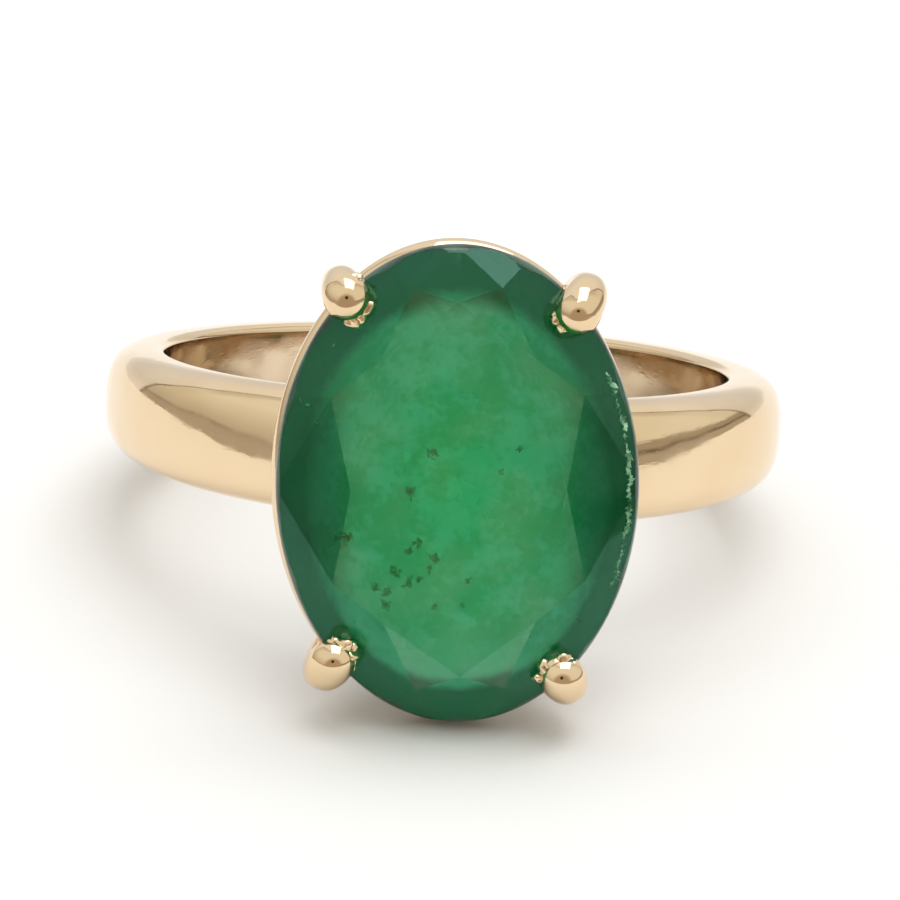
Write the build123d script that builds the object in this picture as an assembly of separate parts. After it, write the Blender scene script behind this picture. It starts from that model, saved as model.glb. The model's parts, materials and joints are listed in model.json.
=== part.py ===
from build123d import *
import os
from math import atan2, cos, hypot, radians, sin, tan

# A four-claw solitaire cocktail ring lying on its side on a table.
# Millimetres. The model is drawn in the ring's own axes, with the origin at the centre of the
# finger hole, Z along the finger and the stone towards -Y. It is then leaned onto the table:
# +Z up, the table at Z = 0, the origin under the middle of the ring.

# --- finger hole and shank -------------------------------------------------------------
FINGER_R = 8.65            # US size 7
SHANK_T_FRONT = 1.50       # wall from finger hole to the crest, under the stone
SHANK_T_REAR = 2.00
SHANK_W_FRONT = 3.75       # width along the finger, under the stone
SHANK_W_REAR = 2.70
EDGE_R = 0.25              # rounding where the shank meets the finger
BORE_SKIN = 0.03           # left inside the finger hole for a round cutter to take off
CREST_PULL = 0.78          # fullness of the domed outside: 0.55 is an ellipse, 1 is square
SHANK_SECTIONS = 13        # sections lofted along half of the shank

# --- stone: an oval, faceted emerald ---------------------------------------------------
STONE_A = 5.25             # half width, across the finger
STONE_B = 7.00             # half length, along the finger
GIRDLE_LOW = 12.95         # heights above the finger axis
GIRDLE_HIGH = 13.20
TABLE_H = 14.10
CULET_H = 9.85
TABLE_A = 3.10             # half sizes of the oval that the table's corners lie on
TABLE_B = 5.45
MAIN_COUNT = 8             # main facets on the crown and on the pavilion
STAR_TIP = 0.75            # height of a star facet's tip, as a part of the crown's height
PAVILION_STEEPER = 4.0     # degrees by which the pavilion's girdle facets out-tilt its mains

# --- head: four claws and two rails ----------------------------------------------------
CLAW_R = 0.60
CLAW_X = 3.40              # where a claw crosses the girdle, from the stone's centre
CLAW_Y = 5.45
CLAW_PROUD = 0.25          # claw's centre line outside the girdle there
CLAW_FOOT = 4.25           # distance from the stone's centre line to the claw's foot
CLAW_FOOT_H = 10.00
CLAW_LEAN = 44.0           # degrees that the lower claw leans out
CLAW_TIP_BEND_R = 0.85
CLAW_TIP_BEND = 58.0       # degrees that the tip turns in over the crown
CLAW_BEAD_R = 0.68         # the rounded bead that ends the tip

RAIL_W = 0.62              # wire of the upper gallery rail, across and along its height
RAIL_H = 0.70
RAIL_TOP = 12.55
RAIL_PROUD = 0.06          # rail outside the girdle's outline
RAIL_ROUND = 0.28
RAIL_SHIFT = -0.06         # the stone was set this far off the middle of the rail

SEAT_TURN = 3.2            # degrees that the stone and the rails sit turned between the claws
SEAT_GAP = 0.15            # between the lower rail or the shank and the pavilion

BASE_A = 3.55              # half sizes of the lower gallery rail's outline
BASE_B = 4.95
BASE_W = 0.80
BASE_TOP = 11.15
BASE_FINGER_R = 10.05      # its underside follows the finger at this radius
BASE_ROUND = 0.20

OPENING_A = 1.90           # half sizes of the hole through the shank under the stone
OPENING_B = 1.10

BIG = 40.0                 # longer than the ring in any direction
MOST_TILT = 45.0           # degrees, more than the ring can lean on the table
TILT_STEPS = 40            # halvings in the search for the lean


def shank_section(turn):
    """D-shaped face across the shank, `turn` degrees round from the stone."""
    front = (1 + cos(radians(turn))) / 2
    half = (SHANK_W_REAR + (SHANK_W_FRONT - SHANK_W_REAR) * front) / 2
    wall = SHANK_T_REAR + (SHANK_T_FRONT - SHANK_T_REAR) * front
    side = EDGE_R - BORE_SKIN
    outward = Vector(sin(radians(turn)), -cos(radians(turn)), 0)
    plane = Plane(origin=outward * FINGER_R, x_dir=outward, z_dir=outward.cross(Vector(0, 0, 1)))
    with BuildSketch(plane) as section:
        with BuildLine():
            Line((-BORE_SKIN, half - EDGE_R), (-BORE_SKIN, EDGE_R - half))
            RadiusArc((-BORE_SKIN, EDGE_R - half), (side, -half), -EDGE_R)
            pull = side + (wall - side) * CREST_PULL
            Bezier((side, -half), (pull, -half), (wall, -half * CREST_PULL), (wall, 0))
            Bezier((wall, 0), (wall, half * CREST_PULL), (pull, half), (side, half))
            RadiusArc((side, half), (-BORE_SKIN, half - EDGE_R), -EDGE_R)
        make_face()
    return section.sketch.face()


def make_shank():
    turns = [180 * i / (SHANK_SECTIONS - 1) for i in range(SHANK_SECTIONS)]
    half = loft([shank_section(t) for t in turns])
    return half + mirror(half, Plane.YZ) - Cylinder(FINGER_R, BIG)


def outline_side(turn):
    """The girdle's outline at its own angle `turn`: (unit normal, distance of the tangent line)."""
    nx, ny = cos(radians(turn)) / STONE_A, sin(radians(turn)) / STONE_B
    nx, ny = nx / hypot(nx, ny), ny / hypot(nx, ny)
    return (nx, ny), hypot(STONE_A * nx, STONE_B * ny)


def leaning_plane(turn, height, run, rise):
    """Plane along the girdle's outline at `height` that goes in by `run` while it climbs `rise`."""
    (nx, ny), reach = outline_side(turn)
    up = 1 if rise > 0 else -1
    return Plane(origin=(nx * reach, ny * reach, height), z_dir=Vector(nx * abs(rise), ny * abs(rise), up * run))


def girdle_point(turn):
    return Vector(STONE_A * cos(radians(turn)), STONE_B * sin(radians(turn)), GIRDLE_HIGH)


def table_corner(turn):
    return TABLE_A * cos(radians(turn)), TABLE_B * sin(radians(turn))


def main_run(turn):
    """How far in the main facet's plane goes between the girdle and the table."""
    (nx, ny), reach = outline_side(turn)
    x, y = table_corner(turn)
    return reach - nx * x - ny * y


def star_tip(turn, next_turn):
    """Where two neighbouring main facets meet at the height of the star facet's tip."""
    (ax, ay), a_reach = outline_side(turn)
    (bx, by), b_reach = outline_side(next_turn)
    a_reach -= STAR_TIP * main_run(turn)
    b_reach -= STAR_TIP * main_run(next_turn)
    scale = ax * by - ay * bx
    return (a_reach * by - b_reach * ay) / scale, (b_reach * ax - a_reach * bx) / scale


def facet_planes():
    """Every facet of the stone as a plane whose normal points out of the stone."""
    step = 360 / MAIN_COUNT
    crown = TABLE_H - GIRDLE_HIGH
    pavilion = GIRDLE_LOW - CULET_H
    planes = []
    for i in range(MAIN_COUNT):
        main, following = i * step, (i + 1) * step
        planes.append(leaning_plane(main, GIRDLE_HIGH, main_run(main), crown))
        (nx, ny), reach = outline_side(main)
        planes.append(leaning_plane(main, GIRDLE_LOW, reach, -pavilion))
        steeper = tan(atan2(pavilion, reach) + radians(PAVILION_STEEPER))

        tip = Vector(*star_tip(main, following), GIRDLE_HIGH + STAR_TIP * crown)
        corner = Vector(*table_corner(main), TABLE_H)
        along_table = Vector(*table_corner(following), TABLE_H) - corner
        planes.append(Plane(origin=corner, z_dir=(tip - corner).cross(along_table)))
        for half in (0, 1):
            start = girdle_point(main + half * step / 2)
            along_girdle = girdle_point(main + (half + 1) * step / 2) - start
            planes.append(Plane(origin=tip, z_dir=along_girdle.cross(tip - start)))
            planes.append(leaning_plane(main + (2 * half + 1) * step / 4, GIRDLE_LOW, 1, -steeper))
    return planes


def make_stone():
    with BuildSketch(Plane.XY.offset(CULET_H)) as girdle:
        Ellipse(STONE_A, STONE_B)
    stone = extrude(girdle.sketch, TABLE_H - CULET_H)
    for plane in facet_planes():
        stone = split(stone, plane, keep=Keep.BOTTOM)
    return stone


def oval_ring(a, b, width, low, high, rounding):
    """Upright oval band of rectangular wire with rounded corners."""
    with BuildSketch(Plane.XY.offset(low)) as outline:
        Ellipse(a, b)
        Ellipse(a - width, b - width, mode=Mode.SUBTRACT)
    band = extrude(outline.sketch, high - low)
    return fillet(band.edges(), rounding)


def pavilion_room():
    """The cone below the girdle that the shank and the lower rail have to leave clear."""
    with BuildSketch(Plane.XY.offset(GIRDLE_LOW)) as mouth:
        Ellipse(STONE_A + SEAT_GAP, STONE_B + SEAT_GAP)
    with BuildSketch(Plane.XY.offset(CULET_H - SEAT_GAP)) as point:
        Ellipse(SEAT_GAP * STONE_A / STONE_B, SEAT_GAP)
    return loft([mouth.sketch.face(), point.sketch.face()])


def light_opening():
    """Oval hole through the shank under the stone's point."""
    with BuildSketch() as hole:
        Ellipse(OPENING_A, OPENING_B)
    return extrude(hole.sketch, BIG)


def claw_wire(side_x, side_y):
    """One claw: a round wire that leans out, straightens and turns in over the crown."""
    spoke = Vector(side_x * CLAW_X, side_y * CLAW_Y, 0)
    reach = spoke.length + CLAW_PROUD
    plane = Plane(origin=(0, 0, 0), x_dir=spoke, z_dir=spoke.cross(Vector(0, 0, 1)))
    lean = radians(CLAW_LEAN)
    rise, run = GIRDLE_LOW - CLAW_FOOT_H, reach - CLAW_FOOT
    # straight length and bend radius that carry the foot to the girdle and end upright
    bend = (rise * sin(lean) - run * cos(lean)) / (sin(lean) ** 2 - (1 - cos(lean)) * cos(lean))
    straight = (rise - bend * sin(lean)) / cos(lean)
    foot = (CLAW_FOOT, CLAW_FOOT_H)
    knee = (CLAW_FOOT + straight * sin(lean), CLAW_FOOT_H + straight * cos(lean))
    with BuildLine(plane) as path:
        Line(foot, knee)
        JernArc(knee, (sin(lean), cos(lean)), bend, CLAW_LEAN)
        JernArc((reach, GIRDLE_LOW), (0, 1), CLAW_TIP_BEND_R, CLAW_TIP_BEND)
    wire = path.wire()
    start = Plane(origin=wire @ 0, z_dir=wire % 0)
    with BuildSketch(start) as section:
        Circle(CLAW_R)
    body = sweep(section.sketch, path=wire)
    return body + Pos(*(wire @ 1)) * Sphere(CLAW_BEAD_R)


def rest_tilt(shank, stone):
    """Degrees that the ring leans so that the stone and the back of the shank both touch."""
    low, high = 0.0, MOST_TILT
    for _ in range(TILT_STEPS):
        tilt = (low + high) / 2
        lean = Rot(-tilt, 0, 0)
        front = (lean * stone).bounding_box().min.Z
        rear = (lean * shank).bounding_box().min.Z
        if front < rear:
            low = tilt
        else:
            high = tilt
    return tilt


os.makedirs("parts", exist_ok=True)

shank = make_shank()
# The head is drawn upright, in a frame whose Z leaves the finger, and laid over towards -Y.
head = Plane(origin=(0, 0, 0), x_dir=(1, 0, 0), z_dir=(0, -1, 0)).location
turned = Rot(0, 0, SEAT_TURN)
stone = turned * make_stone()
room = turned * pavilion_room()
finger = Rot(90, 0, 0) * Cylinder(BASE_FINGER_R, BIG)
rail = oval_ring(STONE_A + RAIL_PROUD, STONE_B + RAIL_PROUD, RAIL_W,
                 RAIL_TOP - RAIL_H, RAIL_TOP, RAIL_ROUND)
base = turned * oval_ring(BASE_A, BASE_B, BASE_W, FINGER_R, BASE_TOP, BASE_ROUND)

shank = shank - head * room - head * light_opening()
base = head * (base - finger - room) - shank
rail = head * Pos(RAIL_SHIFT, 0, 0) * turned * rail
stone = head * stone

pieces = {
    "shank": shank,
    "lower_gallery_rail": base,
    "upper_gallery_rail": rail,
    "emerald": stone,
}
for side_y, level in ((1, "upper"), (-1, "lower")):
    for side_x, hand in ((-1, "left"), (1, "right")):
        claw = head * claw_wire(side_x, side_y)
        pieces[f"claw_{level}_{hand}"] = claw - shank - base - rail - stone

tilt = rest_tilt(shank, stone)
lean = Rot(-tilt, 0, 0)
laid = {name: lean * piece for name, piece in pieces.items()}
boxes = [piece.bounding_box() for piece in laid.values()]
bottom = min(box.min.Z for box in boxes)
front, back = min(box.min.Y for box in boxes), max(box.max.Y for box in boxes)
down = Pos(0, -(front + back) / 2, -bottom)

for name, piece in laid.items():
    export_step(down * piece, f"parts/{name}.step")

print("tilt", round(tilt, 4), "moved by", down.position)
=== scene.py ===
import json
from math import acos, cos, hypot, pi, radians, sin, tau

import bmesh
import bpy
from mathutils import Matrix, Vector, noise


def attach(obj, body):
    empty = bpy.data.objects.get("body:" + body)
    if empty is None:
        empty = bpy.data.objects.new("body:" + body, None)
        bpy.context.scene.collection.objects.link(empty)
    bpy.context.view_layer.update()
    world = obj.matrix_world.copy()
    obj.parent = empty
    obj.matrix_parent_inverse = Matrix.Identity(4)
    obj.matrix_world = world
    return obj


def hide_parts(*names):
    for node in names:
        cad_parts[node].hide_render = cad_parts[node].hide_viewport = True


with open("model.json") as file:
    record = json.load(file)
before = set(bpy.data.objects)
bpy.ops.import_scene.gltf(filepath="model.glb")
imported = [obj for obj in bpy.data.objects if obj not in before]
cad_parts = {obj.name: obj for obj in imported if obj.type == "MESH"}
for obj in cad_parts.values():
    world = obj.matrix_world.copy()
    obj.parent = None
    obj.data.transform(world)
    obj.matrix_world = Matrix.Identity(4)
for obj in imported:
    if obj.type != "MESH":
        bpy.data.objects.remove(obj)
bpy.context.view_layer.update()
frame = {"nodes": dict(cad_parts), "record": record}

# A four-claw gold ring with an oval emerald, lying on its side. Shapes are drawn in millimetres in
# two sets of axes taken from the record's finger hole: the ring's (Z along the finger, the stone
# towards -Y) and the head's (X across the finger, Y along it, Z away from it).

MM = 0.001
finger_hole = next(m for m in frame["record"]["mounts"] if m["name"] == "finger_hole")
FINGER_R = finger_hole["dims"]["r_mm"]
hole_centre = Vector(finger_hole["pos_m"])
along = Vector(finger_hole["axis"]).normalized()
across = Vector((1, 0, 0))
outward = across.cross(along)


def axes(x, y, z, origin):
    """Matrix that carries millimetres in these axes to metres in the row frame."""
    turn = Matrix((x, y, z)).transposed().to_4x4()
    return Matrix.Translation(origin) @ turn @ Matrix.Scale(MM, 4)


RING = axes(across, -outward, along, hole_centre)
HEAD = axes(across, along, outward, hole_centre)

# --- driving sizes, millimetres --------------------------------------------------------
SHANK_T_FRONT = 1.50       # wall from finger hole to the crest, under the stone
SHANK_T_REAR = 2.00
SHANK_W_FRONT = 3.75       # width along the finger, under the stone
SHANK_W_REAR = 2.70
EDGE_R = 0.25              # rounding where the shank meets the finger
CREST_PULL = 0.78          # fullness of the domed outside: 0.55 is an ellipse, 1 is square
OPENING_A = 1.90           # half sizes of the light opening under the stone
OPENING_B = 1.10
POLISH_WAVE = 0.009        # how far hand polishing leaves the outside wavy
BAND_SECTIONS = 360
BORE_SKIN = 0.02           # the duller, darker gold reaches this far out from the finger hole: wear and painted shade

STONE_A = 5.25             # half width, across the finger
STONE_B = 7.00             # half length, along the finger
GIRDLE_LOW = 12.95         # heights above the finger's axis
GIRDLE_HIGH = 13.20
GIRDLE_MIDDLE = Vector((0, 0, (GIRDLE_LOW + GIRDLE_HIGH) / 2))
GIRDLE_ROUND = 0.50        # radius of the worn rounding where the crown meets the girdle
CROWN_LEAN = 31.0          # degrees; how far the crown leans where it meets that rounding
ROUND_STEP = 3             # degrees between the loops of the rounding
ROUND_END = 54
RIM_POINTS = 128
BLANK_HALF = 5             # half height of the uncut stone
SEAT_TURN = 3.2            # degrees that the stone and the rails sit turned between the claws
SEAT_GROW = 1.003          # size of the seat cut in the claws, as a part of the stone
FACET_BEVEL = 0.035        # wear along the edges of the facets
FACET_JOINT = 3.5          # degrees; facets that meet at less keep an unworn edge
FACET_CREASE = 3.2         # degrees; faces that meet at less are shaded as one
STAR_LIMIT = 18.0          # degrees; the table and the star facets lean less than this
GIRDLE_LIMIT = 46.5        # degrees; the rounded girdle leans more than this
SIDE_FACET = 0.997         # how squarely across the finger the two side facets with painted shade face
VEIL_IN = 0.985            # size of the milky layer with painted light that lines the underside, as a part of the stone
VEIL_T = 0.04

# Dark crystals and pale flecks seen through the table: across, along, size.
DARK_CRYSTALS = (
    (-0.80, 1.0, 0.13), (1.7, 1.2, 0.08), (1.2, 0.5, 0.07), (-1.4, -0.2, 0.14), (-3.1, -1.6, 0.15),
    (-3.4, -1.6, 0.09), (-1.1, -1.6, 0.12), (-1.3, -1.9, 0.10), (-0.6, -2.1, 0.13), (-0.7, -2.4, 0.09),
    (-1.7, -2.5, 0.13), (-1.9, -3.1, 0.12), (-1.9, -3.5, 0.13), (-1.3, -2.8, 0.12), (-0.5, -3.5, 0.08),
    (0.4, -2.7, 0.07), (-1.0, -2.7, 0.09), (-2.2, -3.0, 0.09), (0.3, -3.4, 0.07), (3.6, -3.7, 0.08))
PALE_FLECKS = ((-4.4, 2.2, 0.07), (-4.1, 1.7, 0.06), (-4.6, 2.3, 0.05), (-3.7, 3.9, 0.06), (1.0, 4.4, 0.07))
STREAK = (30.0, -27.0)     # degrees round the stone between which a pale streak, a painted reflection, follows its right rim
STREAK_IN = 0.94           # the streak's place, as a part of the way from the middle to the girdle
STREAK_WANDER = 0.012
STREAK_FLECKS = 190
FLECK_SIZE = 0.055         # an average fleck of the streak; those below the least size are left out
FLECK_SPREAD = 0.14
FLECK_LEAST = 0.02

CLAW_R = 0.60
CLAW_X = 3.40              # where a claw crosses the girdle, from the stone's centre
CLAW_Y = 5.45
CLAW_PROUD = 0.25          # claw's centre line outside the girdle there
CLAW_FOOT = 4.25           # distance from the stone's centre line to the claw's foot
CLAW_FOOT_H = 10.00
CLAW_LEAN = 44.0           # degrees that the lower part of a claw leans out
CLAW_TIP_BEND_R = 0.85
CLAW_BEAD_R = 0.68         # the rounded bead that ends the tip
CLAW_POINTS = 48           # round the wire
FILING = 0.022             # unevenness that hand filing leaves
# How far each claw's tip is bent in over the crown, and how far the claw stands turned round the
# stone from its place, in degrees.
CLAW_TIPS = {
    "claw_upper_left": (48.0, 0.8),
    "claw_upper_right": (66.0, 1.1),
    "claw_lower_left": (63.0, -0.9),
    "claw_lower_right": (53.0, -0.7),
}

RAIL_W = 0.62              # wire of the upper gallery rail, across and along its height
RAIL_H = 0.70
RAIL_TOP = 12.55
RAIL_PROUD = 0.06          # rail outside the girdle's outline
RAIL_SHIFT = -0.06         # the stone was set this far off the middle of the rail
RAIL_SECTIONS = 320
RAIL_POINTS = 28

SMOOTH = 40.0              # degrees; metal faces that meet at less are shaded as one

# Burrs left by the setter at each claw: from the bead's middle across, along and outwards, then size.
BURRS = {
    "claw_upper_left": ((0.55, -0.30, 0.05, 0.26), (0.22, -0.70, -0.05, 0.28), (0.42, -0.52, 0.0, 0.24),
                        (0.22, 0.58, 0.05, 0.22), (0.40, 0.40, 0.0, 0.17)),
    "claw_upper_right": ((-0.62, -0.28, 0.04, 0.18), (-0.56, -0.12, 0.04, 0.18), (-0.48, -0.42, 0.06, 0.22),
                         (-0.34, -0.52, 0.08, 0.18)),
    "claw_lower_left": ((0.04, 0.56, 0.22, 0.24), (0.30, 0.46, 0.26, 0.28), (0.50, 0.24, 0.24, 0.26),
                        (0.58, -0.02, 0.12, 0.20), (0.48, 0.44, 0.05, 0.24)),
    "claw_lower_right": ((-0.50, 0.26, 0.20, 0.32), (-0.02, 0.50, 0.26, 0.30), (-0.66, -0.02, 0.10, 0.22),
                         (0.26, 0.40, 0.20, 0.26), (-0.30, 0.44, 0.24, 0.30)),
}


# --- mesh helpers ----------------------------------------------------------------------
def new_object(name, bm, place=Matrix.Identity(4), sharp=SMOOTH):
    """Finished, smooth-shaded object from a bmesh whose points are in the axes of `place`."""
    bm.transform(place)
    bmesh.ops.recalc_face_normals(bm, faces=bm.faces)
    mesh = bpy.data.meshes.new(name)
    bm.to_mesh(mesh)
    bm.free()
    mesh.shade_smooth()
    mesh.set_sharp_from_angle(angle=radians(sharp))
    piece = bpy.data.objects.new(name, mesh)
    bpy.context.scene.collection.objects.link(piece)
    return piece


def skin(loops, close_ends):
    """bmesh through a list of equally long closed loops of points.

    With close_ends the first and last loops are capped; otherwise the last joins the first.
    """
    bm = bmesh.new()
    rows = [[bm.verts.new(p) for p in loop] for loop in loops]
    count = len(rows[0])
    pairs = list(zip(rows, rows[1:]))
    if not close_ends:
        pairs.append((rows[-1], rows[0]))
    for low, high in pairs:
        for i in range(count):
            j = (i + 1) % count
            bm.faces.new((low[i], low[j], high[j], high[i]))
    if close_ends:
        bm.faces.new(rows[0])
        bm.faces.new(rows[-1])
    return bm


def apply_modifiers(piece):
    """Bakes the piece's modifiers into its mesh."""
    graph = bpy.context.evaluated_depsgraph_get()
    mesh = bpy.data.meshes.new_from_object(piece.evaluated_get(graph))
    old = piece.data
    piece.modifiers.clear()
    piece.data = mesh
    bpy.data.meshes.remove(old)


def cut(piece, *cutters):
    """Takes the cutters out of the piece."""
    for cutter in cutters:
        modifier = piece.modifiers.new("cut", "BOOLEAN")
        modifier.operation = "DIFFERENCE"
        modifier.solver = "EXACT"
        modifier.object = cutter
    apply_modifiers(piece)


# --- shank -----------------------------------------------------------------------------
def bezier(p0, p1, p2, p3, steps=24):
    """Points along a cubic curve, without its last one."""
    points = []
    for i in range(steps):
        t = i / steps
        weights = ((1 - t) ** 3, 3 * t * (1 - t) ** 2, 3 * t * t * (1 - t), t ** 3)
        points.append(tuple(sum(w * p[k] for w, p in zip(weights, (p0, p1, p2, p3))) for k in (0, 1)))
    return points


def shank_loop(turn):
    """Section of the band, `turn` radians round from the stone: (distance from finger, along)."""
    front = (1 + cos(turn)) / 2
    half = (SHANK_W_REAR + (SHANK_W_FRONT - SHANK_W_REAR) * front) / 2
    wall = SHANK_T_REAR + (SHANK_T_FRONT - SHANK_T_REAR) * front
    pull = EDGE_R + (wall - EDGE_R) * CREST_PULL
    flat = half - EDGE_R
    flat_steps, corner_steps = 12, 8
    points = [(0, flat * (1 - 2 * i / flat_steps)) for i in range(flat_steps)]
    for i in range(corner_steps):
        a = i / corner_steps * pi / 2
        points.append((EDGE_R * (1 - cos(a)), -flat - EDGE_R * sin(a)))
    points += bezier((EDGE_R, -half), (pull, -half), (wall, -half * CREST_PULL), (wall, 0))
    points += bezier((wall, 0), (wall, half * CREST_PULL), (pull, half), (EDGE_R, half))
    for i in range(corner_steps):
        a = (1 - i / corner_steps) * pi / 2
        points.append((EDGE_R * (1 - cos(a)), flat + EDGE_R * sin(a)))
    return points


def make_shank():
    """Domed band with its light opening."""
    loops = []
    for i in range(BAND_SECTIONS):
        a = tau * i / BAND_SECTIONS
        loop = []
        for r, z in shank_loop(a):
            spot = Vector((sin(a) * (FINGER_R + r), -cos(a) * (FINGER_R + r), z))
            if r > EDGE_R:
                spot *= 1 + POLISH_WAVE * noise.noise(spot * 0.9) * min(1, r - EDGE_R) / FINGER_R
            loop.append(spot)
        loops.append(loop)
    shank = new_object("polished_shank", skin(loops, close_ends=False), RING)
    low, high = FINGER_R / 2, FINGER_R * 1.5
    turns = [tau * i / 96 for i in range(96)]
    rim = [(OPENING_A * cos(a), OPENING_B * sin(a)) for a in turns]
    drill = new_object("drill", skin([[(x, y, h) for x, y in rim] for h in (low, high)], True), HEAD)
    cut(shank, drill)
    shank.data.shade_smooth()
    shank.data.set_sharp_from_angle(angle=radians(SMOOTH))
    bpy.data.objects.remove(drill)
    return shank


# --- head ------------------------------------------------------------------------------
def claw_path(tip_bend):
    """Centre line of a claw as (point, direction, radius), in (distance from stone's middle, height)."""
    lean = radians(CLAW_LEAN)
    reach = hypot(CLAW_X, CLAW_Y) + CLAW_PROUD
    rise, run = GIRDLE_LOW - CLAW_FOOT_H, reach - CLAW_FOOT
    bend = (rise * sin(lean) - run * cos(lean)) / (sin(lean) ** 2 - (1 - cos(lean)) * cos(lean))
    straight = (rise - bend * sin(lean)) / cos(lean)
    straight_steps, bend_steps, tip_steps = 10, 12, 16
    steps = []
    for i in range(straight_steps):
        s = straight * i / straight_steps
        steps.append(((CLAW_FOOT + s * sin(lean), CLAW_FOOT_H + s * cos(lean)), lean, CLAW_R))
    for i in range(bend_steps):
        a = lean * (1 - i / bend_steps)
        steps.append(((reach - bend * (1 - cos(a)), GIRDLE_LOW - bend * sin(a)), a, CLAW_R))
    tip = radians(tip_bend)
    for i in range(tip_steps + 1):
        a = tip * i / tip_steps
        swell = (1 - cos(pi * i / tip_steps)) / 2
        point = (reach - CLAW_TIP_BEND_R * (1 - cos(a)), GIRDLE_LOW + CLAW_TIP_BEND_R * sin(a))
        steps.append((point, -a, CLAW_R + (CLAW_BEAD_R - CLAW_R) * swell))
    return steps


def add_burrs(claw, bead, places, seed):
    """Ragged bits of metal pushed up against the bead of a claw."""
    bm = bmesh.new()
    bm.from_mesh(claw.data)
    for i, (x, y, z, size) in enumerate(places):
        made = bmesh.ops.create_icosphere(bm, subdivisions=3, radius=1.0)["verts"]
        spin = Matrix.Rotation(1.9 * i + seed, 3, "Z") @ Matrix.Rotation(0.7 * i, 3, "X")
        for v in made:
            v.co *= 1 + 0.45 * noise.noise(v.co * 1.1 + Vector((5.0 * i, seed * 4, 0)))
            chip = spin @ Vector((v.co.x, v.co.y * 0.7, v.co.z * 0.6)) * size
            v.co = HEAD @ (bead + Vector((x, y, z)) + chip)
    bm.to_mesh(claw.data)
    bm.free()


def make_claw(name, node, side_x, side_y, stone_cutter):
    """Claw on the given sides of the stone, seated against it, with the setter's burrs."""
    tip_bend, turned = CLAW_TIPS[node]
    spoke = Matrix.Rotation(radians(turned), 3, "Z") @ Vector((side_x * CLAW_X, side_y * CLAW_Y, 0))
    spoke.normalize()
    side = spoke.cross(Vector((0, 0, 1)))
    loops = []

    def ring_of_points(point, lean, radius, forward):
        ahead = spoke * sin(lean) + Vector((0, 0, cos(lean)))
        normal = side.cross(ahead)
        centre = spoke * point[0] + Vector((0, 0, point[1])) + ahead * forward
        angles = [tau * k / CLAW_POINTS for k in range(CLAW_POINTS)]
        return [centre + (side * cos(a) + normal * sin(a)) * radius for a in angles]

    path = claw_path(tip_bend)
    point, lean, radius = path[0]
    foot_steps, foot_round, bead_steps = 5, 0.25, 20
    for k in range(foot_steps, 0, -1):
        a = k / foot_steps * pi / 2
        narrowed = radius * (1 - foot_round + foot_round * cos(a))
        loops.append(ring_of_points(point, lean, narrowed, -foot_round * radius * sin(a)))
    loops += [ring_of_points(point, lean, radius, 0) for point, lean, radius in path]
    point, lean, radius = path[-1]
    for k in range(1, bead_steps):
        a = k / bead_steps * pi / 2
        loops.append(ring_of_points(point, lean, radius * cos(a), radius * sin(a)))
    bm = skin(loops, close_ends=True)
    bm.normal_update()
    for v in bm.verts:
        v.co += v.normal * FILING * noise.noise(v.co * 1.7 + Vector((turned * 9, 0, 0)))
    claw = new_object(name, bm, HEAD)
    cut(claw, stone_cutter)
    add_burrs(claw, spoke * point[0] + Vector((0, 0, point[1])), BURRS[node], turned)
    claw.data.shade_smooth()
    claw.data.set_sharp_from_angle(angle=radians(SMOOTH))
    return claw


def make_upper_rail():
    """Oval wire that follows the girdle on the stone's underside."""
    loops = []
    mid = RAIL_TOP - RAIL_H / 2
    turn = Matrix.Rotation(radians(SEAT_TURN), 4, "Z")
    for i in range(RAIL_SECTIONS):
        a = tau * i / RAIL_SECTIONS
        normal = Vector((cos(a) / STONE_A, sin(a) / STONE_B, 0)).normalized()
        edge = Vector((STONE_A * cos(a), STONE_B * sin(a), mid)) + normal * (RAIL_PROUD - RAIL_W / 2)
        loop = []
        for k in range(RAIL_POINTS):
            b = tau * k / RAIL_POINTS
            loop.append(edge + normal * (RAIL_W / 2 * cos(b)) + Vector((0, 0, RAIL_H / 2 * sin(b))))
        loops.append(loop)
    place = HEAD @ Matrix.Translation((RAIL_SHIFT, 0, 0)) @ turn
    return new_object("upper_rail_wire", skin(loops, close_ends=False), place)


# --- stone -----------------------------------------------------------------------------
def facet_planes():
    """(point, normal) of every flat facet of the CAD stone, in the head's axes."""
    mesh = frame["nodes"]["emerald"].data
    to_head = HEAD.inverted()
    upright, least_area = 0.05, 0.05 * MM * MM
    found = {}
    for face in mesh.polygons:
        normal = (to_head.to_3x3() @ face.normal).normalized()
        if abs(normal.z) < upright:
            continue
        key = tuple(round(c, 2) for c in normal)
        area, _, _ = found.get(key, (0, None, None))
        found[key] = (area + face.area, to_head @ face.center, normal)
    return [(point, normal) for area, point, normal in found.values() if area > least_area]


def side_profile(rounded):
    """(inset, height) of each loop up the side of the uncut stone, rounded in above the girdle if asked."""
    foot, head = GIRDLE_MIDDLE.z - BLANK_HALF, GIRDLE_MIDDLE.z + BLANK_HALF
    if not rounded:
        return [(0, foot), (0, head)]
    sink = GIRDLE_ROUND * (1 - sin(radians(CROWN_LEAN))) / cos(radians(CROWN_LEAN))
    arc = [radians(degree) for degree in range(0, ROUND_END + ROUND_STEP, ROUND_STEP)]
    loops = [(GIRDLE_ROUND * (1 - cos(f)), GIRDLE_HIGH - sink + GIRDLE_ROUND * sin(f)) for f in arc]
    return [(0, foot), *loops, (loops[-1][0], head)]


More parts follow.
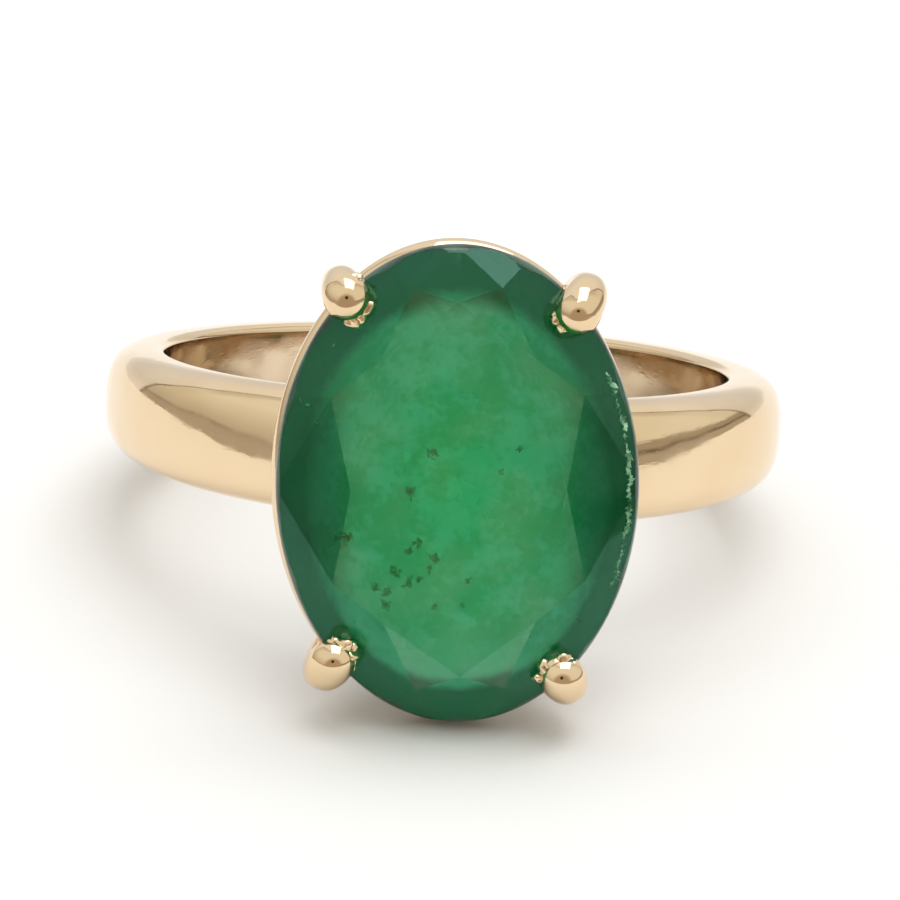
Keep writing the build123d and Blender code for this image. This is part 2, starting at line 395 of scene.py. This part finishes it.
def stone_shape(bevel, grow):
    """The faceted stone, in the head's axes, with its edges bevelled and scaled about its girdle."""
    turned = Matrix.Rotation(radians(SEAT_TURN), 2)
    loops = []
    for inset, height in side_profile(bevel):
        loop = []
        for i in range(RIM_POINTS):
            a = tau * i / RIM_POINTS
            square_on = Vector((cos(a) / STONE_A, sin(a) / STONE_B)).normalized()
            spot = turned @ (Vector((STONE_A * cos(a), STONE_B * sin(a))) - square_on * inset)
            loop.append((spot.x, spot.y, height))
        loops.append(loop)
    bm = skin(loops, close_ends=True)
    for point, normal in facet_planes():
        whole = list(bm.verts) + list(bm.edges) + list(bm.faces)
        cutting = bmesh.ops.bisect_plane(bm, geom=whole, plane_co=point, plane_no=normal, clear_outer=True)
        rim_edges = [e for e in cutting["geom_cut"] if isinstance(e, bmesh.types.BMEdge)]
        if rim_edges:
            bmesh.ops.contextual_create(bm, geom=rim_edges)
    weld = 0.002
    bmesh.ops.remove_doubles(bm, verts=bm.verts, dist=weld)
    bmesh.ops.dissolve_degenerate(bm, dist=weld, edges=bm.edges)
    if bevel:
        bm.normal_update()
        joined = [e for e in bm.edges if len(e.link_faces) == 2]
        edges = [e for e in joined if e.calc_face_angle() > radians(FACET_JOINT)]
        bmesh.ops.bevel(bm, geom=edges, offset=bevel, segments=2, profile=0.5, affect="EDGES",
                        clamp_overlap=True)
    for v in bm.verts:
        v.co = GIRDLE_MIDDLE + (v.co - GIRDLE_MIDDLE) * grow
    return bm


def make_stone(name, bevel, grow=1.0):
    """The stone as an object, with crisp facets."""
    return new_object(name, stone_shape(bevel, grow), HEAD, sharp=FACET_CREASE)


def make_veil():
    """Thin bowl just inside the stone's underside, where the haze of the stone and its painted light and
    shade are seen.
    """
    bm = stone_shape(0, VEIL_IN)
    whole = list(bm.verts) + list(bm.edges) + list(bm.faces)
    brim = Vector((0, 0, GIRDLE_LOW))
    bmesh.ops.bisect_plane(bm, geom=whole, plane_co=brim, plane_no=(0, 0, 1), clear_outer=True)
    bmesh.ops.recalc_face_normals(bm, faces=bm.faces)
    bmesh.ops.solidify(bm, geom=list(bm.faces), thickness=VEIL_T)
    return new_object("milky_veil_with_painted_light", bm, HEAD, sharp=FACET_CREASE)


def scattered(place, bits):
    """A crystal at (across, along, size) broken into smaller bits round it."""
    x, y, size = place
    spread = 1.7 * size
    broken = []
    for k in range(bits):
        aside = noise.noise(Vector((x * 3.7, y * 2.9, k * 1.3)))
        ahead = noise.noise(Vector((x * 3.7, y * 2.9, k * 1.3 + 40)))
        broken.append((x + aside * spread, y + ahead * spread, size * (1.15 - 0.60 * k / bits)))
    return broken


def make_flakes(name, places, depth, drop, bits):
    """Small ragged flakes in four layers, `drop` apart, from `depth` down: inclusions, and the painted
    reflection along the rim.
    """
    bm = bmesh.new()
    if bits > 1:
        places = [bit for place in places for bit in scattered(place, bits)]
    for i, (x, y, size) in enumerate(places):
        made = bmesh.ops.create_icosphere(bm, subdivisions=2, radius=1.0)["verts"]
        seed = Vector((3.1 * i, 1.7 * i, 0.9 * i))
        spin = Matrix.Rotation(2.4 * i, 3, "Z") @ Matrix.Rotation(0.5 + 0.3 * (i % 3), 3, "X")
        for v in made:
            v.co *= 1 + 0.9 * noise.noise(v.co * 1.6 + seed)
            v.co = spin @ Vector((v.co.x * size, v.co.y * size * 0.55, v.co.z * size * 0.2))
            v.co += Vector((x, y, depth - drop * (i % 4)))
    return new_object(name, bm, HEAD)


def painted_rim_reflection():
    """Uneven row of pale flecks inside the right rim of the stone, a painted reflection: (across, along,
    size).
    """
    first, last = STREAK
    turned = Matrix.Rotation(radians(SEAT_TURN), 2)
    places = []
    for i in range(STREAK_FLECKS):
        a = radians(first + (last - first) * i / (STREAK_FLECKS - 1))
        rough = noise.noise(Vector((i * 0.43, 4.2, 0)))
        part = STREAK_IN + STREAK_WANDER * noise.noise(Vector((i * 0.11, 9.1, 0))) + STREAK_WANDER * rough
        spot = turned @ Vector((STONE_A * cos(a), STONE_B * sin(a))) * part
        places.append((spot.x, spot.y, FLECK_SIZE + FLECK_SPREAD * rough))
    return [place for place in places if place[2] > FLECK_LEAST]


# --- materials -------------------------------------------------------------------------
EMERALD_IOR = 1.577
SOAKED_UP = (0.06, 0.98, 0.78, 1)
GREEN_SHINE = (0.50, 1.0, 0.85, 1)


class Nodes:
    """Shorthand for building the node tree of a material or the world."""

    def __init__(self, owner):
        owner.use_nodes = True
        self.owner = owner
        self.tree = owner.node_tree

    def add(self, kind, links=None, **values):
        """New node: lower case values are its own settings, capitalised ones are inputs."""
        node = self.tree.nodes.new(kind)
        for key, value in values.items():
            if hasattr(node, key):
                setattr(node, key, value)
            else:
                node.inputs[key.replace("_", " ").title()].default_value = value
        for socket, source in (links or {}).items():
            self.tree.links.new(source, node.inputs[socket])
        return node

    def link(self, source, target):
        self.tree.links.new(source, target)

    def operate(self, kind, operation, values):
        node = self.add(kind, operation=operation)
        for socket, value in zip(node.inputs, values):
            if isinstance(value, bpy.types.NodeSocket):
                self.link(value, socket)
            else:
                socket.default_value = value
        return node

    def math(self, operation, *values):
        return self.operate("ShaderNodeMath", operation, values).outputs[0]

    def vector(self, operation, *values):
        """Vector result, or the number for the operations that give one."""
        outputs = self.operate("ShaderNodeVectorMath", operation, values).outputs
        return outputs["Value" if operation in ("DOT_PRODUCT", "LENGTH") else "Vector"]

    def span(self, value, low, high):
        """0 at low, 1 at high, smooth between."""
        node = self.add("ShaderNodeMapRange", {"Value": value}, interpolation_type="SMOOTHSTEP")
        node.inputs["From Min"].default_value = low
        node.inputs["From Max"].default_value = high
        return node.outputs[0]

    def blend(self, factor, a, b):
        """Colour a at factor 0 and b at 1."""
        node = self.add("ShaderNodeMix", {0: factor}, data_type="RGBA")
        for socket, value in ((node.inputs[6], a), (node.inputs[7], b)):
            if isinstance(value, tuple):
                socket.default_value = (*value, 1)
            else:
                self.link(value, socket)
        return node.outputs[2]

    def scaled(self, value, at_0, at_1):
        """at_0 where the value is 0, at_1 where it is 1."""
        node = self.add("ShaderNodeMapRange", {"Value": value})
        node.inputs["To Min"].default_value = at_0
        node.inputs["To Max"].default_value = at_1
        return node.outputs[0]

    def noise(self, place, scale, detail):
        """Noise at a place, with `scale` cells to the metre."""
        node = self.add("ShaderNodeTexNoise", {"Vector": place})
        node.inputs["Scale"].default_value = scale
        node.inputs["Detail"].default_value = detail
        return node.outputs["Fac"]

    def ramp(self, source, stops):
        """Colours at (elevation in degrees, colour) stops, where the source runs from 0 at -90 to 1 at 90."""
        node = self.add("ShaderNodeValToRGB", {"Fac": source})
        elements = node.color_ramp.elements
        for i, (degree, colour) in enumerate(stops):
            element = elements[i] if i < 2 else elements.new(1.0)
            element.position = degree / 180 + 0.5
            element.color = (*colour, 1)
        return node.outputs["Color"]


def new_material(name):
    """(nodes, shader) of a new material."""
    n = Nodes(bpy.data.materials.new(name))
    return n, n.tree.nodes["Principled BSDF"]


def gold_material(name, light, deep, smooth, dull):
    """Polished gold: patches of two tints, smudges, and fine polishing scratches."""
    n, s = new_material(name)
    s.inputs["Metallic"].default_value = 1.0
    place = n.add("ShaderNodeTexCoord").outputs["Object"]
    patches = n.noise(place, 260.0, 3.0)
    n.link(n.blend(n.span(patches, 0.38, 0.62), deep, light), s.inputs["Base Color"])
    smudge = n.noise(place, 900.0, 5.0)
    n.link(n.scaled(n.span(smudge, 0.35, 0.70), smooth, dull), s.inputs["Roughness"])
    brushed = n.add("ShaderNodeMapping", {"Vector": place})
    brushed.inputs["Rotation"].default_value = (0.25, 0.1, 0.4)
    brushed.inputs["Scale"].default_value = (500.0, 2600.0, 6500.0)
    scratches = n.span(n.noise(brushed.outputs[0], 1.0, 3.0), 0.55, 0.75)
    bump = n.add("ShaderNodeBump", {"Height": scratches}, Strength=0.35, Distance=0.000002)
    n.link(bump.outputs["Normal"], s.inputs["Normal"])
    return n.owner


def emerald_facet(name, tint, gloss, haze, shine=(1.0, 1.0, 1.0, 1)):
    """Polished face of the stone, with faint wear in the polish and milky patches under it."""
    n, s = new_material(name)
    s.inputs["Base Color"].default_value = tint
    s.inputs["IOR"].default_value = EMERALD_IOR
    s.inputs["Specular IOR Level"].default_value = gloss
    s.inputs["Specular Tint"].default_value = shine
    place = n.add("ShaderNodeTexCoord").outputs["Object"]
    wear = n.noise(place, 700.0, 6.0)
    n.link(n.scaled(n.span(wear, 0.35, 0.75), 0.03, 0.09), s.inputs["Roughness"])
    drift = n.noise(place, 650.0, 7.0)
    n.link(n.scaled(n.span(drift, 0.36, 0.66), 1.0, 1.0 - haze), s.inputs["Transmission Weight"])
    depths = n.add("ShaderNodeVolumeAbsorption", Color=SOAKED_UP, Density=460.0)
    n.link(depths.outputs["Volume"], n.tree.nodes["Material Output"].inputs["Volume"])
    return n.owner


def veil_material():
    """Milky haze seen through the stone, with painted light in the middle and painted shade round the girdle.
    """
    n, s = new_material("milky_veil_with_painted_light")
    s.inputs["Roughness"].default_value = 0.7
    s.inputs["Specular IOR Level"].default_value = 0.0
    place = n.add("ShaderNodeTexCoord").outputs["Object"]
    from_axis = n.vector("SUBTRACT", place, hole_centre)
    # The place across and along the stone, u and v, each 1 at the girdle.
    turn = Matrix.Rotation(radians(SEAT_TURN), 3, "Z")
    reach = n.add("ShaderNodeCombineXYZ")
    for socket, direction, size in (("X", Vector((1, 0, 0)), STONE_A), ("Y", Vector((0, 1, 0)), STONE_B)):
        axis = (HEAD.to_3x3() @ turn @ direction).normalized() / (size * MM)
        n.link(n.vector("DOT_PRODUCT", from_axis, axis), reach.inputs[socket])
    split = n.add("ShaderNodeSeparateXYZ", {0: reach.outputs[0]})
    u, v = split.outputs[0], split.outputs[1]
    cloud = n.noise(place, 420.0, 6.0)
    wisp = n.noise(place, 1500.0, 5.0)
    grain = n.noise(place, 3800.0, 3.0)

    # Painted light: the bright oval, a little ragged, narrower at the top, with painted shade towards the
    # sides.
    ragged = n.math("MULTIPLY", n.math("SUBTRACT", cloud, 0.5), 0.10)
    oval = n.math("ADD", n.vector("LENGTH", reach.outputs[0]), ragged)
    narrower = n.math("ADD", n.math("MULTIPLY", v, 0.08), 1.0)
    painted_light = n.span(n.math("MULTIPLY", oval, narrower), 0.84, 0.73)
    painted_light = n.math("MULTIPLY", painted_light, n.span(oval, 0.84, 0.80))
    painted_side_shade = n.scaled(n.span(n.math("ABSOLUTE", u), 0.76, 0.48), 0.30, 1.0)
    painted_light = n.math("MULTIPLY", painted_light, painted_side_shade)

    # Its mottling, whiter at the lower end and smoky round the dark crystals.
    coarse = n.math("ADD", n.math("MULTIPLY", cloud, 0.40), n.math("MULTIPLY", wisp, 0.35))
    mottle = n.span(n.math("ADD", coarse, n.math("MULTIPLY", grain, 0.25)), 0.43, 0.57)
    mottle = n.math("MAXIMUM", mottle, n.scaled(n.span(v, -0.60, -0.76), 0.0, 0.85))
    from_crystals = n.vector("SUBTRACT", reach.outputs[0], (-0.30, -0.45, 0))
    smoky = n.span(n.vector("LENGTH", from_crystals), 0.08, 0.26)
    mottle = n.math("MULTIPLY", mottle, n.scaled(smoky, 0.45, 1.0))
    # The bright oval is painted light in the haze's colours. Outside it the veil is dark green: painted shade
    # round the girdle.
    haze_in_painted_light = n.blend(mottle, (0.50, 0.82, 0.64), (1.0, 1.0, 1.0))
    n.link(n.blend(painted_light, (0.012, 0.32, 0.19), haze_in_painted_light), s.inputs["Base Color"])
    return n.owner


def inclusion_and_rim_reflection_material(name, tints, clearness):
    """Cloudy, half see-through matter inside the stone, mottled between two tints; in the rim streak it is a
    painted reflection.
    """
    n, s = new_material(name)
    s.inputs["IOR"].default_value = 1.0
    s.inputs["Roughness"].default_value = 0.4
    s.inputs["Specular IOR Level"].default_value = 0.0
    place = n.add("ShaderNodeTexCoord").outputs["Object"]
    dust = n.noise(place, 5200.0, 4.0)
    n.link(n.blend(n.span(dust, 0.38, 0.62), *tints), s.inputs["Base Color"])
    smoke = n.noise(place, 3100.0, 4.0)
    n.link(n.scaled(n.span(smoke, 0.36, 0.64), *clearness), s.inputs["Transmission Weight"])
    return n.owner


# --- build -----------------------------------------------------------------------------
gold = gold_material("polished_gold", (0.84, 0.655, 0.435), (0.81, 0.62, 0.395), 0.05, 0.13)
# The bore's gold is rougher from wear and darker: painted shade inside the ring.
bore_gold = gold_material("worn_gold_painted_shade", (0.74, 0.59, 0.42), (0.64, 0.50, 0.34), 0.07, 0.18)
# Name, tint, gloss, most haze and, where it isn't white, the colour of the reflections.
stone_greens = [
    emerald_facet("emerald_table", (0.94, 1.0, 0.84, 1), 0.28, 0.030),
    # The crown, side-facet and girdle tints are darker copies of the table's: painted shade.
    emerald_facet("emerald_crown_painted_shade", (0.50, 0.95, 0.72, 1), 0.09, 0.006, GREEN_SHINE),
    emerald_facet("emerald_side_facet_painted_shade", (0.26, 0.84, 0.64, 1), 0.09, 0.006, GREEN_SHINE),
    emerald_facet("emerald_pavilion", (0.05, 0.42, 0.19, 1), 0.5, 0.05),
    emerald_facet("emerald_girdle_painted_shade", (0.12, 0.30, 0.20, 1), 0.5, 0.30),
]
TABLE, CROWN, SIDE, PAVILION, GIRDLE = range(5)


def stone_zone(face):
    """Which of the stone's greens a facet shows."""
    if (face.center - hole_centre).dot(outward) < GIRDLE_LOW * MM:
        return PAVILION
    rise = face.normal.dot(outward)
    if rise < cos(radians(GIRDLE_LIMIT)):
        return GIRDLE
    if rise > cos(radians(STAR_LIMIT)):
        return TABLE
    aside = Matrix.Rotation(radians(SEAT_TURN), 3, outward) @ across
    return SIDE if abs(face.normal.dot(aside)) > SIDE_FACET * sin(acos(rise)) else CROWN


stone_cutter = make_stone("stone_cutter", 0, grow=SEAT_GROW)
pieces = {
    "shank": make_shank(),
    "upper_gallery_rail": make_upper_rail(),
    "emerald": make_stone("cut_emerald", FACET_BEVEL),
}
for side_y, level in ((1, "upper"), (-1, "lower")):
    for side_x, hand in ((-1, "left"), (1, "right")):
        node = f"claw_{level}_{hand}"
        pieces[node] = make_claw(f"{node}_wire", node, side_x, side_y, stone_cutter)
bpy.data.objects.remove(stone_cutter)

for node, piece in pieces.items():
    stone = node == "emerald"
    piece.data.materials.clear()
    if stone:
        for green in stone_greens:
            piece.data.materials.append(green)
        for face in piece.data.polygons:
            face.material_index = stone_zone(face)
    else:
        piece.data.materials.append(gold)
    if node == "shank":
        # The faces of the finger hole take the darker gold with painted shade.
        piece.data.materials.append(bore_gold)
        for face in piece.data.polygons:
            arm = face.center - hole_centre
            radius = (arm - along * arm.dot(along)).length
            face.material_index = int(radius < (FINGER_R + BORE_SKIN) * MM)
    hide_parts(node)
    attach(piece, "root")

# The veil's colour paints the light seen through the table and the shade round the girdle.
veil = make_veil()
veil.data.materials.append(veil_material())
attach(veil, "root")

# Name, places, height of the top layer, drop to the next, bits to a place, tints, clearness.
for name, places, depth, drop, bits, tints, clearness in (
        ("dark_crystals", DARK_CRYSTALS, 13.5, 0.12, 6,
         ((0.06, 0.56, 0.34), (0.22, 0.82, 0.56)), (0.50, 1.0)),
        ("pale_flecks", PALE_FLECKS, 13.4, 0.1, 1,
         ((0.45, 0.75, 0.60), (0.62, 0.92, 0.78)), (0.10, 0.60)),
        # The pale rim streak is a painted reflection, made of flecks.
        ("painted_rim_reflection", painted_rim_reflection(), 13.36, 0.012, 1,
         ((0.40, 0.70, 0.50), (0.62, 0.90, 0.70)), (0.30, 0.95))):
    flakes = make_flakes(name, places, depth, drop, bits)
    flakes.data.materials.append(inclusion_and_rim_reflection_material(name, tints, clearness))
    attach(flakes, "root")

for slot in frame["nodes"]["lower_gallery_rail"].material_slots:
    slot.link = "OBJECT"
    slot.material = gold

# --- floor, light and camera -----------------------------------------------------------
# The white sheet the ring lies on: its left, right, front and back edges, in millimetres.
SHEET_EDGES = (-50, 75, -38, 140)


def make_floor():
    """White sheet at the height of the table."""
    left, right, front, back = SHEET_EDGES
    bm = bmesh.new()
    corners = ((left, front), (right, front), (right, back), (left, back))
    bm.faces.new([bm.verts.new((x * MM, y * MM, 0)) for x, y in corners])
    floor = new_object("floor", bm)
    n, s = new_material("white_sheet")
    s.inputs["Base Color"].default_value = (0.72, 0.72, 0.72, 1)
    s.inputs["Roughness"].default_value = 0.6
    floor.data.materials.append(n.owner)


make_floor()

# The studio round the ring: a white sheet behind it that comes over the top, and a beige room in
# front and at the sides. Room colours are (elevation in degrees, colour) stops.
TABLE_TOP = (0.50, 0.45, 0.38)
LEFT_ROOM = ((-90, TABLE_TOP), (-3, TABLE_TOP), (-1.2, (0.38, 0.32, 0.25)), (-0.3, (0.60, 0.56, 0.48)),
             (12, (0.76, 0.73, 0.64)), (30, (0.90, 0.89, 0.81)), (60, (0.90, 0.89, 0.82)))
RIGHT_ROOM = ((-90, TABLE_TOP), (-1, TABLE_TOP), (0.3, (0.10, 0.07, 0.05)), (1.6, (0.44, 0.39, 0.31)),
              (5.5, (0.42, 0.37, 0.30)), (7.0, (0.88, 0.86, 0.77)), (60, (0.90, 0.88, 0.80)))
FRONT_SHADE = (0.48, 0.39, 0.30)
SHEET_COLOURS = ((-90, (0.95, 0.95, 0.95)), (-4, (0.90, 0.90, 0.90)), (5, (0.77, 0.77, 0.77)),
                 (18, (0.83, 0.84, 0.85)), (36, (0.95, 0.95, 0.95)), (90, (1.0, 1.0, 1.0)))
WHITE = (1.0, 1.0, 1.0)
SEAM = (0.22, 0.17, 0.11)  # the sheet's shaded edge
GAP = (0.30, 0.27, 0.22)   # the dusk between the sheet and the room
LENS = (0.05, 0.04, 0.03)
# Direction's Y above which the sheet is seen, by elevation.
SHEET_FROM = ((-90, 0.60), (10, 0.60), (30, 0.50), (47, 0.38), (62, 0.12), (74, -0.20), (90, -0.40))
LENS_DIRECTION = (-0.037, -0.915, 0.402)


def make_world():
    """The studio, as a colour for every direction."""
    world = bpy.data.worlds.new("studio")
    bpy.context.scene.world = world
    n = Nodes(world)
    direction = n.add("ShaderNodeTexCoord").outputs["Generated"]
    x, y, z = n.add("ShaderNodeSeparateXYZ", {0: direction}).outputs
    height = n.math("ADD", n.math("DIVIDE", n.math("ARCSINE", z), pi), 0.5)
    edge = n.ramp(height, [(degree, (value / 2 + 0.5,) * 3) for degree, value in SHEET_FROM])
    edge = n.math("SUBTRACT", n.math("MULTIPLY", edge, 2.0), 1.0)
    inside = n.math("SUBTRACT", y, edge)

    room = n.blend(n.span(x, -0.1, 0.1), n.ramp(height, LEFT_ROOM), n.ramp(height, RIGHT_ROOM))
    dusk = n.math("ADD", n.math("MULTIPLY", n.span(z, 0.45, 0.60), 0.20), 0.14)
    dusk = n.math("MULTIPLY", n.span(inside, -0.34, -0.10), dusk)
    room = n.blend(dusk, room, GAP)
    room = n.blend(n.span(y, -0.66, -0.88), room, FRONT_SHADE)
    facing = n.vector("DOT_PRODUCT", direction, LENS_DIRECTION)
    room = n.blend(n.span(facing, 0.988, 0.994), room, LENS)

    studio = n.blend(n.span(inside, -0.012, 0.012), room, n.ramp(height, SHEET_COLOURS))
    seam = n.math("MULTIPLY", n.span(n.math("ABSOLUTE", inside), 0.024, 0.006), 0.85)
    studio = n.blend(seam, studio, SEAM)
    seen = n.blend(n.add("ShaderNodeLightPath").outputs["Is Camera Ray"], studio, WHITE)
    n.link(seen, n.tree.nodes["Background"].inputs["Color"])


make_world()


def area_light(name, place, target, size, power):
    """Rectangular light, in metres and watts."""
    data = bpy.data.lights.new(name, "AREA")
    data.shape = "RECTANGLE"
    data.size, data.size_y = size
    data.energy = power
    light = bpy.data.objects.new(name, data)
    bpy.context.scene.collection.objects.link(light)
    light.location = place
    light.rotation_euler = (Vector(target) - Vector(place)).to_track_quat("-Z", "Y").to_euler()
    return light


# The two soft lights fill the shadows and aren't seen in reflections.
area_light("overhead", (0.105, 0.03, 0.6), (0.105, 0.03, 0), (0.42, 0.54), 1.5)
for soft in (area_light("behind", (-0.03, 0.22, 0.50), (0, 0, 0), (1.3, 0.22), 1.9),
             area_light("front_fill", (0, -0.50, 0.35), (0, 0, 0), (1.5, 0.3), 0.35)):
    soft.visible_glossy = False
    soft.visible_transmission = False

# The camera, in the ring's axes.
CAMERA_DISTANCE = 200.0
CAMERA_AZIMUTH = radians(-2.29)
CAMERA_ELEVATION = radians(9.6)
CAMERA_ROLL = radians(2.93)
CAMERA_TARGET = Vector((0.2525, 0, -1.205))
CAMERA_LENS = 259.4


def make_camera():
    """Long lens in front of the stone, a little above it and turned."""
    back = Vector((sin(CAMERA_AZIMUTH) * cos(CAMERA_ELEVATION),
                   -cos(CAMERA_AZIMUTH) * cos(CAMERA_ELEVATION), sin(CAMERA_ELEVATION)))
    right = (-back).cross(Vector((0, 0, 1))).normalized()
    up = back.cross(right)
    turned_right = right * cos(CAMERA_ROLL) + up * sin(CAMERA_ROLL)
    turned_up = up * cos(CAMERA_ROLL) - right * sin(CAMERA_ROLL)
    data = bpy.data.cameras.new("camera")
    camera = bpy.data.objects.new("camera", data)
    bpy.context.scene.collection.objects.link(camera)
    data.sensor_width = 36.0
    data.lens = CAMERA_LENS
    data.clip_start, data.clip_end = 0.01, 10.0
    to_world = RING.to_3x3() * (1 / MM)
    turn = to_world @ Matrix((turned_right, turned_up, back)).transposed()
    place = RING @ (CAMERA_TARGET + back * CAMERA_DISTANCE)
    camera.matrix_world = Matrix.Translation(place) @ turn.to_4x4()
    bpy.context.scene.camera = camera


make_camera()
bpy.context.scene.view_settings.view_transform = "Standard"
